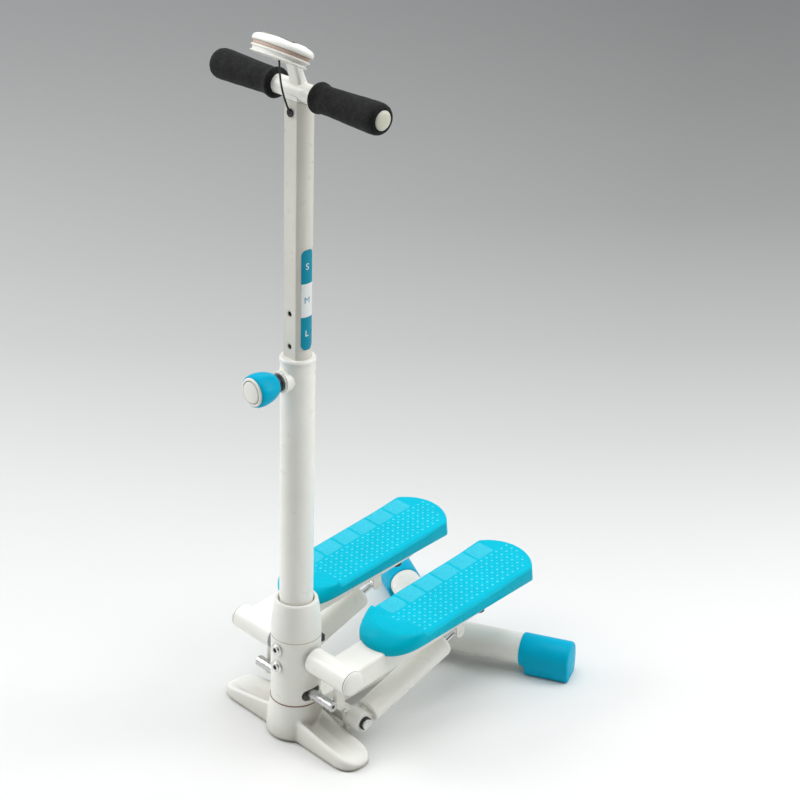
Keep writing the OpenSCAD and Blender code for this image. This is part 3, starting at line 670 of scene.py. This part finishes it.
def dome(bm, x, y, z, radius, height, sides=10):
    """Adds a low dome to the mesh."""
    rows = []
    for r, h in ((1.0, -0.25), (0.86, 0.45), (0.5, 0.88)):
        rows.append([
            bm.verts.new((x + radius * r * math.cos(2 * math.pi * i / sides),
                          y + radius * r * math.sin(2 * math.pi * i / sides), z + height * h))
            for i in range(sides)
        ])
    tip = bm.verts.new((x, y, z + height))
    for lower, upper in zip(rows, rows[1:]):
        for i in range(sides):
            j = (i + 1) % sides
            bm.faces.new((lower[i], lower[j], upper[j], upper[i]))
    for i in range(sides):
        bm.faces.new((rows[-1][i], rows[-1][(i + 1) % sides], tip))
    bm.faces.new(tuple(reversed(rows[0])))


STRIP_FROM = -59
STRIP_TO = -22
DOTS_FROM = 146
PADS_FROM = 148
DOT_PITCH = 12.8
DOT_R = 2.5


def dot_mesh():
    """Rows of low dots beside the pads, with a small one between each four."""
    bm = bmesh.new()
    v = DOTS_FROM
    while v < HEEL_V + HEEL_RISE - 10:
        a = STRIP_TO + 6.5
        while a < HALF - 9:
            if in_from_outline(a, v) > 10 and v > cap_line(a) + 5:
                dome(bm, a, v, DECK_W, DOT_R, 0.8)
            middle_a, middle_v = a + DOT_PITCH / 2, v + DOT_PITCH / 2
            if in_from_outline(middle_a, middle_v) > 11 and middle_v > cap_line(middle_a) + 5:
                dome(bm, middle_a, middle_v, DECK_W, DOT_R * 0.45, 0.3)
            a += DOT_PITCH
        v += DOT_PITCH
    return bm


PATCHES = 6


def patch_mesh():
    """Raised, finely textured pads in a row along the pedal's inner edge."""
    bm = bmesh.new()
    length = (HEEL_V - 4 - PADS_FROM) / PATCHES
    for k in range(PATCHES):
        low_v = PADS_FROM + k * length
        pad = rounded_rect((STRIP_TO - STRIP_FROM) / 2, length / 2 - 2.4, 9 if k == 0 else 3, 32)
        middle = Vector(((STRIP_TO + STRIP_FROM) / 2, low_v + length / 2))
        levels = ((1.0, -0.2), (1.0, 0.15), (0.97, 0.32))
        part = loft([
            [Vector((middle.x + x * s, middle.y + y * s, DECK_W + z)) for x, y in pad]
            for s, z in levels
        ])
        bm = join(bm, part)
    return bm


for name, side in SIDES.items():
    flip = Matrix.Translation((ARM_X * side * MM, 0, 0))
    place = ARM @ flip
    add_piece(f"pedal_shell_{name}", pedal_mesh(), place, f"arm_{name}", pedal_skin,
              [f"pedal_{name}"], 50)
    add_piece(f"pedal_dots_{name}", dot_mesh(), place, f"arm_{name}", pedal_dots, (), 60)
    add_piece(f"pedal_pads_{name}", patch_mesh(), place, f"arm_{name}", pedal_patch, (), 40)

# ---------------------------------------------------------------- front foot cover
FOOT_HALF = size("front_foot_cover").x / MM / 2
FOOT_FRONT = -33
FOOT_REAR = 36


def wing_rings(side):
    """Cross-sections of one wing from the post to its round tip."""
    rings = []
    tip_x = FOOT_HALF + 1
    stations = [0, 20, 40, 55, 70, 85, 100, 115, 126, 136, 144, 151, 157, 162, 166, 168.8, tip_x]
    for x in stations:
        t = x / tip_x
        tip = max(0.0, (x - 126) / (tip_x - 126))
        narrow = max(0.0, 1 - tip**2.6) ** 0.42
        front = blend_value(2, FOOT_FRONT, narrow)
        rear = blend_value(2, FOOT_REAR, narrow)
        crest_front = blend_value(57, 19, t**0.75) * (0.4 + 0.6 * narrow)
        crest_rear = blend_value(53, 18, t**0.8) * (0.4 + 0.6 * narrow)
        dish = min(crest_front, crest_rear) - 16 * math.sin(math.pi * min(1, t * 1.06)) ** 0.8 * narrow
        width = rear - front
        section = [
            (front, 2), (front + 0.5, 6), (front + 0.06 * width, crest_front - 3),
            (front + 0.13 * width, crest_front), (front + 0.36 * width, dish),
            (front + 0.6 * width, blend_value(dish, crest_rear, 0.3)), (front + 0.8 * width, crest_rear - 1),
            (front + 0.9 * width, crest_rear), (rear - 0.03 * width, crest_rear - 6), (rear, 6), (rear, 2),
        ]
        rings.append([Vector((side * x, y, z)) for y, z in section])
    return rings


def foot_mesh():
    """Wings and boss as rough closed bodies; the remesh below blends them into one moulding."""
    parts = [loft(wing_rings(side)) for side in (LEFT, RIGHT)]
    boss = revolve([(51, 2), (50.5, 12), (49, 28), (46.5, 48), (44.9, 62), (44.6, 69.5)], 96)
    bmesh.ops.transform(boss, matrix=COLUMN, verts=boss.verts)
    return join(*parts, boss)


cover = add_piece("foot_moulding", foot_mesh(), Matrix(), "base", moulded,
                  ["front_foot_cover"])
remesh = cover.modifiers.new("remesh", "REMESH")
remesh.mode = "VOXEL"
remesh.voxel_size = 0.0016
remesh.use_smooth_shade = True
relax = cover.modifiers.new("relax", "SMOOTH")
relax.factor = 0.5
relax.iterations = 14
apply_modifiers(cover)
cut = bmesh.new()
cut.from_mesh(cover.data)
SEAM_T = 69.2
seam_point = COLUMN @ Vector((0, 0, SEAM_T * MM))
seam_normal = COLUMN.to_3x3() @ Vector((0, 0, 1))
bmesh.ops.bisect_plane(cut, geom=cut.verts[:] + cut.edges[:] + cut.faces[:], plane_co=seam_point,
                       plane_no=seam_normal, clear_outer=True)
bmesh.ops.holes_fill(cut, edges=[e for e in cut.edges if e.is_boundary])
bmesh.ops.recalc_face_normals(cut, faces=cut.faces)
cut.to_mesh(cover.data)
cut.free()
cover.data.shade_smooth()
cover.data.set_sharp_from_angle(angle=math.radians(50))
cover.data.materials.clear()
cover.data.materials.append(foot_plastic_painted_shade)

COLLAR_T = 194.8
POST_R = 43.2
# A thin brown ring where the post meets the collar: painted shadow of the gap.
joint_line = hoop(POST_R - 1, POST_R + 0.12, COLLAR_T - 0.35, COLLAR_T + 0.35)
add_piece("collar_joint_shadow", joint_line, COLUMN, "base", shadow_line_paint, (), 60)
for index, t in enumerate(BOLT_TS):
    head = revolve(fillet([(4, -14), (4, 2.05), (7.9, 2.05), (7.9, 3.3), (6.4, 4.3), (4.1, 4.5),
                           (SOCKET_R, 2.9), (0, 2.8)], 0.35), 64)
    place = COLUMN @ Matrix.Translation(Vector((0, -POST_R, t)) * MM) @ Matrix.Rotation(math.pi / 2, 4, "X")
    add_piece(f"post_bolt_{index + 1}", head, place, "base", satin, (), 40)
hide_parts("post_bolts")

# A thin brown ring where the foot cover meets the post: painted shadow of the gap.
seam = hoop(43.4, 44.3, SEAM_T - 0.3, SEAM_T + 0.9)
add_piece("foot_seam_shadow", seam, COLUMN, "base", shadow_line_paint, (), 60)

# ---------------------------------------------------------------- rear caps
STAB_SWEEP = math.radians(26)
STAB_Z = 40
STAB_Y = 339
CAP_FROM = 170
CAP_TO = 262
CAP_R = 31


def cap_mesh():
    """Sleeve with a foot: round at the mouth, then standing on the floor, with a soft end."""
    outside = [
        (28.8, CAP_FROM), (CAP_R - 1.2, CAP_FROM), (CAP_R, CAP_FROM + 1.4), (CAP_R, CAP_TO - 4),
        (CAP_R - 1.5, CAP_TO - 1), (CAP_R - 5, CAP_TO + 0.4), (12, CAP_TO + 1.6), (0.4, CAP_TO + 2),
        (0.4, CAP_TO - 10), (28.8, CAP_TO - 12),
    ]
    sleeve = ring_body(fillet(outside, 1.5), 96)
    bmesh.ops.transform(sleeve, matrix=Matrix.Rotation(math.pi / 2, 4, "Y"), verts=sleeve.verts)
    half_top = CAP_R - 0.35
    profile = fillet([(half_top, -3), (half_top - 0.6, -18), (half_top - 5, -STAB_Z + 6),
                      (half_top - 9, -STAB_Z + 0.2), (0, -STAB_Z + 0.2)], 4, 6)
    half = [Vector((y, z)) for y, z in profile]
    closed = half + [Vector((-p.x, p.y)) for p in reversed(half[:-1])]
    rings = []
    for s, grow, rise in ((CAP_FROM + 11, -1.6, 1.2), (CAP_FROM + 11.4, -0.6, 0.5), (CAP_FROM + 13, 0, 0),
                          (CAP_TO - 4, 0, 0), (CAP_TO - 1.4, -1.0, 0.8), (CAP_TO + 0.2, -3.4, 2.6)):
        rings.append([
            Vector((s, math.copysign(max(abs(p.x) + grow, 0), p.x), max(p.y, -STAB_Z + rise)))
            for p in closed
        ])
    skirt = loft(rings)
    return join(sleeve, skirt)


for name, side in SIDES.items():
    place = mirror_x(side) @ Matrix.Translation(Vector((0, STAB_Y, STAB_Z)) * MM)
    place = place @ Matrix.Rotation(STAB_SWEEP, 4, "Z")
    add_piece(f"rear_foot_{name}", cap_mesh(), place, "base", rubber_blue,
              [f"rear_cap_{name}"], 40)

# ---------------------------------------------------------------- height knob
KNOB_FRONT = 96
KNOB_BACK = 51


def lobed(profile, lobes, depth, segments=144):
    """A revolved profile whose radius swells in soft lobes; each point states its share."""
    rings = []
    for r, z, share in profile:
        ring = []
        for i in range(segments):
            a = 2 * math.pi * i / segments
            swell = depth * share * (abs(math.cos(lobes * a / 2)) ** 1.6 - 0.6)
            ring.append(Vector(((r + swell) * math.cos(a), (r + swell) * math.sin(a), z)))
        rings.append(ring)
    return rings


knob_rings = lobed([
    (15.6, KNOB_BACK + 15, 0), (15.6, KNOB_BACK + 0.6, 0), (17.2, KNOB_BACK, 0),
    (19.0, KNOB_BACK + 1.2, 0.1), (20.9, KNOB_BACK + 4, 0.5), (22.9, KNOB_BACK + 9, 0.9),
    (24.7, KNOB_BACK + 15, 1), (26.0, KNOB_BACK + 21, 1), (26.8, KNOB_BACK + 28, 0.9),
    (27.1, KNOB_BACK + 34, 0.7), (26.9, KNOB_BACK + 38, 0.45), (26.2, KNOB_BACK + 41.5, 0.2),
    (25.2, KNOB_BACK + 43.6, 0), (24.2, KNOB_BACK + 44, 0), (23.9, KNOB_BACK + 42, 0),
], 6, 1.5)
knob_place = COLUMN @ Matrix.Translation((0, 0, KNOB_T * MM)) @ Matrix.Rotation(math.pi / 2, 4, "X")
add_piece("knob_grip", loft(knob_rings), knob_place, "knob", rubber_blue, ["knob_body"], 60)
neck = ring_body(fillet([(8.2, 40), (15, 40), (15, 43.4), (13.2, 44.2), (12.8, KNOB_BACK + 8),
                         (8.2, KNOB_BACK + 8)], 0.5), 96)
add_piece("knob_neck", neck, knob_place, "knob_collar", plastic_black, ["knob_collar"], 60)
face = revolve(fillet([
    (23.6, KNOB_FRONT - 4), (23.8, KNOB_FRONT - 0.2), (22.6, KNOB_FRONT + 1.2),
    (19.6, KNOB_FRONT + 1.8), (19.2, KNOB_FRONT + 0.6), (18.0, KNOB_FRONT + 0.6),
    (17.7, KNOB_FRONT + 2.2), (14, KNOB_FRONT + 3.0), (7, KNOB_FRONT + 3.5), (0, KNOB_FRONT + 3.6),
], 0.5), 96)
add_piece("knob_disc", face, knob_place, "knob", moulded, ["knob_face"], 60)
# A black ring on the engraved groove's floor: painted shade in the groove.
groove = hoop(18.05, 19.15, KNOB_FRONT + 0.62, KNOB_FRONT + 0.8)
add_piece("knob_ring_line", groove, knob_place, "knob", plastic_black, (), 60)

# ---------------------------------------------------------------- size label
LABEL_T0 = 729
LABEL_H = 170
LABEL_HALF_WIDTH = 12.2
LETTER_H = 11
LETTER_SHIFT = -1.2
LABEL_R = UPPER_R - 0.02


def on_tube(across, t, radius):
    """A point on the upper tube's left side, across being measured along the curve."""
    a = across / UPPER_R
    return Vector((radius * math.cos(a), radius * math.sin(a), t))


def strip(t_low, t_high, round_low, round_high, half, radius):
    """A thin curved plate with round corners at either end."""
    corner = half * 0.8
    edge = []
    steps = 10
    for i in range(steps + 1):
        a = math.radians(90 * i / steps)
        c = corner if round_low else 0.6
        edge.append((half - c + c * math.sin(a), t_low + c - c * math.cos(a)))
    for i in range(steps + 1):
        a = math.radians(90 * i / steps)
        c = corner if round_high else 0.6
        edge.append((half - c + c * math.cos(a), t_high - c + c * math.sin(a)))
    columns = 16
    bm = bmesh.new()
    rows = []
    for width, t in edge:
        places = [on_tube(width * (2 * k / columns - 1), t, radius) for k in range(columns + 1)]
        rows.append([bm.verts.new(place) for place in places])
    for lower, upper in zip(rows, rows[1:]):
        for k in range(columns):
            bm.faces.new((lower[k], lower[k + 1], upper[k + 1], upper[k]))
    bmesh.ops.remove_doubles(bm, verts=bm.verts, dist=0.001)
    bmesh.ops.solidify(bm, geom=bm.faces[:], thickness=0.35)
    return bm


third = LABEL_H / 3
bands = [
    ("label_large", LABEL_T0, LABEL_T0 + third, True, False, label_blue),
    ("label_medium", LABEL_T0 + third, LABEL_T0 + 2 * third, False, False, label_white),
    ("label_small", LABEL_T0 + 2 * third, LABEL_T0 + LABEL_H, False, True, label_blue),
]
for name, low, high, round_low, round_high, look in bands:
    add_piece(name, strip(low + 0.1, high - 0.1, round_low, round_high, LABEL_HALF_WIDTH - 0.3, LABEL_R),
              COLUMN, "upper_column", look, (), 60)
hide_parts("size_label")


def letter(text, middle_t, look):
    """One size letter, bent round the tube."""
    curve = bpy.data.curves.new("letter", "FONT")
    curve.body = text
    curve.size = LETTER_H * 1.35
    curve.align_x = "CENTER"
    curve.align_y = "CENTER"
    shape = bpy.data.objects.new("letter", curve)
    bpy.context.scene.collection.objects.link(shape)
    bpy.context.view_layer.update()
    flat = bpy.data.meshes.new_from_object(shape.evaluated_get(bpy.context.evaluated_depsgraph_get()))
    bpy.data.objects.remove(shape)
    bm = bmesh.new()
    bm.from_mesh(flat)
    bmesh.ops.subdivide_edges(bm, edges=bm.edges[:], cuts=1)
    for vert in bm.verts:
        vert.co = on_tube(vert.co.x + LETTER_SHIFT, middle_t + vert.co.y, LABEL_R + 0.06)
    add_piece(f"letter_{text.lower()}", bm, COLUMN, "upper_column", look, (), 60)


letter("L", LABEL_T0 + third * 0.5, label_white)
letter("M", LABEL_T0 + third * 1.5, label_blue)
letter("S", LABEL_T0 + third * 2.5, label_white)

# ---------------------------------------------------------------- console
CONSOLE_A = 60
CONSOLE_B = 33
CONSOLE = COLUMN @ Matrix.Translation(Vector((0, -33, BAR_T + 73)) * MM) @ COLUMN.inverted() @ CONSOLE_TURN


def shell(levels, count=96):
    """Rings of ovals, each level being (inset, height)."""
    return [
        [Vector((x, y, z)) for x, y in oval(CONSOLE_A - inset_by, CONSOLE_B - inset_by * 0.8, count)]
        for inset_by, z in levels
    ]


top = shell(fillet([(9, -4.0), (1.4, -4.2), (0, -2.4), (0, 0.8), (1.2, 3.6), (4.4, 6.0), (9, 7.6),
                    (14, 8.4), (15.5, 9.4), (17, 9.7)], 1.4, 3))


def match(points, like):
    """The outline's points at the same angles as another outline's, so that the two pair up."""
    return [ray_hit(points, math.atan2(oy, ox)) for ox, oy in like]


def ray_hit(points, angle):
    """Where a ray from the middle meets the closed outline."""
    direction = Vector((math.cos(angle), math.sin(angle)))
    for p, q in zip(points, points[1:] + points[:1]):
        p, q = Vector(p), Vector(q)
        edge = q - p
        cross = direction.x * edge.y - direction.y * edge.x
        if abs(cross) < 1e-9:
            continue
        along = (p.x * edge.y - p.y * edge.x) / cross
        share = (p.x * direction.y - p.y * direction.x) / cross
        if along > 0 and -1e-6 <= share <= 1 + 1e-6:
            return (direction.x * along, direction.y * along)
    raise ValueError("the outline does not surround the middle")


like = oval(40, 22)
window_levels = ((36, 17, 6, 10.0), (33.2, 14.2, 4.6, 9.7), (32.6, 13.6, 4.2, 8.4), (32.6, 13.6, 4.2, 5.6))
for half_x, half_y, corner, z in window_levels:
    points = match(rounded_rect(half_x, half_y, corner, 96), like)
    top.append([Vector((x, y - 3, z)) for x, y in points])
add_piece("console_shell", loft(top), CONSOLE, "upper_column", moulded,
          ["console_front"], 50)
lens = loft([
    [Vector((x, y - 3, z)) for x, y in match(rounded_rect(hx, hy, c, 96), like)]
    for hx, hy, c, z in ((32.3, 13.3, 4, 5.8), (32.3, 13.3, 4, 7.9), (31.6, 12.6, 3.6, 8.5))
])
add_piece("console_window", lens, CONSOLE, "upper_column", window_dark,
          ["console_lens"], 40)
# The underside band is white plastic; its tan colour is painted shade.
back = loft(shell(fillet([(20, -13.4), (8.2, -13.4), (7, -12), (4.4, -8), (4.0, -4.4), (9, -4.1)], 0.8, 3)))
add_piece("console_underside", back, CONSOLE, "upper_column", underside_painted_shade,
          ["console_back"], 50)

tray = shell(fillet([
    (30, -10.0), (4.6, -10.0), (2.2, -10.4), (2.0, -12.6), (6.0, -13.4), (6.4, -18.4), (3.6, -19.2),
    (3.8, -20.8), (7.6, -21.2), (9.0, -15.4), (30, -16.4),
], 0.6, 3))
stem_levels = (
    (0, 14.5, 10, -2), (6, 13.5, 9, -3), (14, 12.8, 8, -5), (24, 12.4, 7.5, -8.5),
    (36, 12.4, 7.5, -13), (44, 12.4, 7.5, -16),
)
stem_rings = [
    [Vector((x, y + o, BAR_T + 8 + t)) for x, y in rounded_rect(half_x, half_y, 5, 48)]
    for t, half_x, half_y, o in stem_levels
]
add_piece("console_tray", loft(tray), CONSOLE, "upper_column", moulded,
          ["console_bracket"], 50)
add_piece("console_stem", loft(stem_rings), COLUMN, "upper_column", moulded, (), 50)
ribs = join(*[
    loft([[Vector((x + mid, y, z)) for x, y in rounded_rect(hx, hy, 1, 16)] for z in (-20.8, -15.0)])
    for mid, hx, hy in ((0, 7.5, 25), (-38, 1.4, 18), (38, 1.4, 18), (-20, 1.2, 23), (20, 1.2, 23))
])
add_piece("console_tray_ribs", ribs, CONSOLE, "upper_column", moulded, (), 40)

# ---------------------------------------------------------------- cord
cord_points = [
    (-40.5, 1208), (-39.5, 1192), (-38, 1172), (-32, 1147), (-25, 1130), (-20.5, 1120), (-17, 1115.5),
]
curve = bpy.data.curves.new("console_cord", "CURVE")
curve.dimensions = "3D"
curve.bevel_depth = 1.55 * MM
curve.bevel_resolution = 6
curve.resolution_u = 16
spline = curve.splines.new("NURBS")
spline.points.add(len(cord_points) - 1)
for point, (o, t) in zip(spline.points, cord_points):
    point.co = (*(COLUMN @ Vector((0, o * MM, t * MM))), 1)
spline.use_endpoint_u = True
spline.order_u = 3
curve.use_fill_caps = True
cord = bpy.data.objects.new("console_cord", curve)
bpy.context.scene.collection.objects.link(cord)
curve.materials.append(rubber_black)
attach(cord, "upper_column")
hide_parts("console_cable")

# ---------------------------------------------------------------- studio


def floor_material():
    """Paper with painted light falloff: light towards the camera, fading to grey with distance and most of
    all to the right.
    """
    n = Nodes("paper_with_painted_falloff")
    split = n.add("ShaderNodeSeparateXYZ", {0: n.place})

    def calculate(operation, *terms):
        return n.add("ShaderNodeMath", dict(enumerate(terms)), operation=operation).outputs[0]

    def combine(x_share, y_share, offset=0.0):
        x_part = calculate("MULTIPLY", split.outputs["X"], x_share)
        both = calculate("MULTIPLY_ADD", split.outputs["Y"], y_share, x_part)
        return calculate("ADD", both, offset)

    def ramp(stops):
        node = n.add("ShaderNodeValToRGB", {"Fac": n.span(depth, 0.0, 1.0, -1.0, 5.0)})
        elements = node.color_ramp.elements
        for index, (at, level) in enumerate(stops):
            stop = elements[index] if index < 2 else elements.new(at)
            stop.position = at
            stop.color = (level, level, level * 0.98, 1)
        return node.outputs["Color"]

    depth = combine(-math.sin(VIEW_AZIMUTH), math.cos(VIEW_AZIMUTH))
    away = combine(-math.sin(VIEW_AZIMUTH), math.cos(VIEW_AZIMUTH), math.hypot(CAMERA_AT[0], CAMERA_AT[1]))
    lateral = combine(math.cos(VIEW_AZIMUTH), math.sin(VIEW_AZIMUTH))
    slant = calculate("DIVIDE", lateral, away)
    # The ramps are painted light: they darken the paper with distance and to the right, as the studio light
    # falls off.
    left = ramp(((0.14, 0.78), (0.2, 0.76), (0.27, 0.69), (0.34, 0.61), (0.42, 0.53), (0.5, 0.51),
                 (1.0, 0.54)))
    right = ramp(((0.14, 0.83), (0.2, 0.79), (0.27, 0.68), (0.34, 0.56), (0.42, 0.465), (0.56, 0.375),
                  (1.0, 0.335)))
    paper = n.mix(n.span(slant, 0.0, 1.0, -0.2, 0.18), left, right)
    grain = n.mix(n.span(n.noise(3), 0, 0.03), paper, (0.5, 0.5, 0.5, 1))
    n.set(Base_Color=grain, Roughness=0.75, Normal=n.bump(n.noise(500), 2e-5), Specular_IOR_Level=0.3)
    return n.material


VIEW_AZIMUTH = math.radians(46.09)
VIEW_ELEVATION = math.radians(27.64)
CAMERA_AT = (2.2078, -1.8726, 2.1537)

floor_mesh = bpy.data.meshes.new("floor")
floor_mesh.from_pydata([(-30, -30, 0), (30, -30, 0), (30, 30, 0), (-30, 30, 0)], [], [(0, 1, 2, 3)])
floor = bpy.data.objects.new("floor", floor_mesh)
bpy.context.scene.collection.objects.link(floor)
floor.data.materials.append(floor_material())


def softbox(name, at, target, width, height, power, tint=(1, 1, 1)):
    light = bpy.data.lights.new(name, "AREA")
    light.shape = "RECTANGLE"
    light.size = width
    light.size_y = height
    light.energy = power
    light.color = tint
    lamp = bpy.data.objects.new(name, light)
    lamp.location = at
    lamp.rotation_euler = (Vector(target) - Vector(at)).to_track_quat("-Z", "Y").to_euler()
    bpy.context.scene.collection.objects.link(lamp)


softbox("top", (0.2, 0.4, 3.6), (0, 0.1, 0.3), 2.6, 2.6, 62)
softbox("left", (-2.6, -1.4, 2.0), (0, 0, 0.6), 1.2, 2.4, 52)
softbox("right", (2.0, 2.2, 2.0), (0, 0.1, 0.5), 1.2, 2.4, 46)
softbox("strip", (-2.0, -0.4, 2.7), (0, 0.1, 0.2), 1.0, 0.22, 3)


def studio_air():
    """Bright walls to the sides, and a dim warm one behind and right of the camera."""
    air = bpy.data.worlds.new("studio_air")
    air.use_nodes = True
    tree = air.node_tree
    link = tree.links.new
    place = tree.nodes.new("ShaderNodeTexCoord")
    toward = tree.nodes.new("ShaderNodeVectorMath")
    toward.operation = "DOT_PRODUCT"
    turn = VIEW_AZIMUTH + math.radians(24)
    toward.inputs[1].default_value = (math.sin(turn), -math.cos(turn), 0)
    ramp = tree.nodes.new("ShaderNodeValToRGB")
    ramp.color_ramp.interpolation = "EASE"
    ramp.color_ramp.elements[0].position = 0.1
    ramp.color_ramp.elements[0].color = (0.93, 0.96, 1.0, 1)
    ramp.color_ramp.elements[1].position = 0.85
    ramp.color_ramp.elements[1].color = (0.08, 0.075, 0.055, 1)
    link(place.outputs["Generated"], toward.inputs[0])
    link(toward.outputs["Value"], ramp.inputs["Fac"])
    link(ramp.outputs["Color"], tree.nodes["Background"].inputs["Color"])
    tree.nodes["Background"].inputs["Strength"].default_value = 0.66
    return air


bpy.context.scene.world = studio_air()

camera_data = bpy.data.cameras.new("camera")
camera_data.sensor_width = 36
camera_data.lens = 91.89
camera = bpy.data.objects.new("camera", camera_data)
camera.location = CAMERA_AT
gaze = Vector((
    -math.sin(VIEW_AZIMUTH) * math.cos(VIEW_ELEVATION),
    math.cos(VIEW_AZIMUTH) * math.cos(VIEW_ELEVATION),
    -math.sin(VIEW_ELEVATION),
))
camera.rotation_euler = gaze.to_track_quat("-Z", "Y").to_euler()
bpy.context.scene.collection.objects.link(camera)
bpy.context.scene.camera = camera
bpy.context.scene.view_settings.view_transform = "Standard"
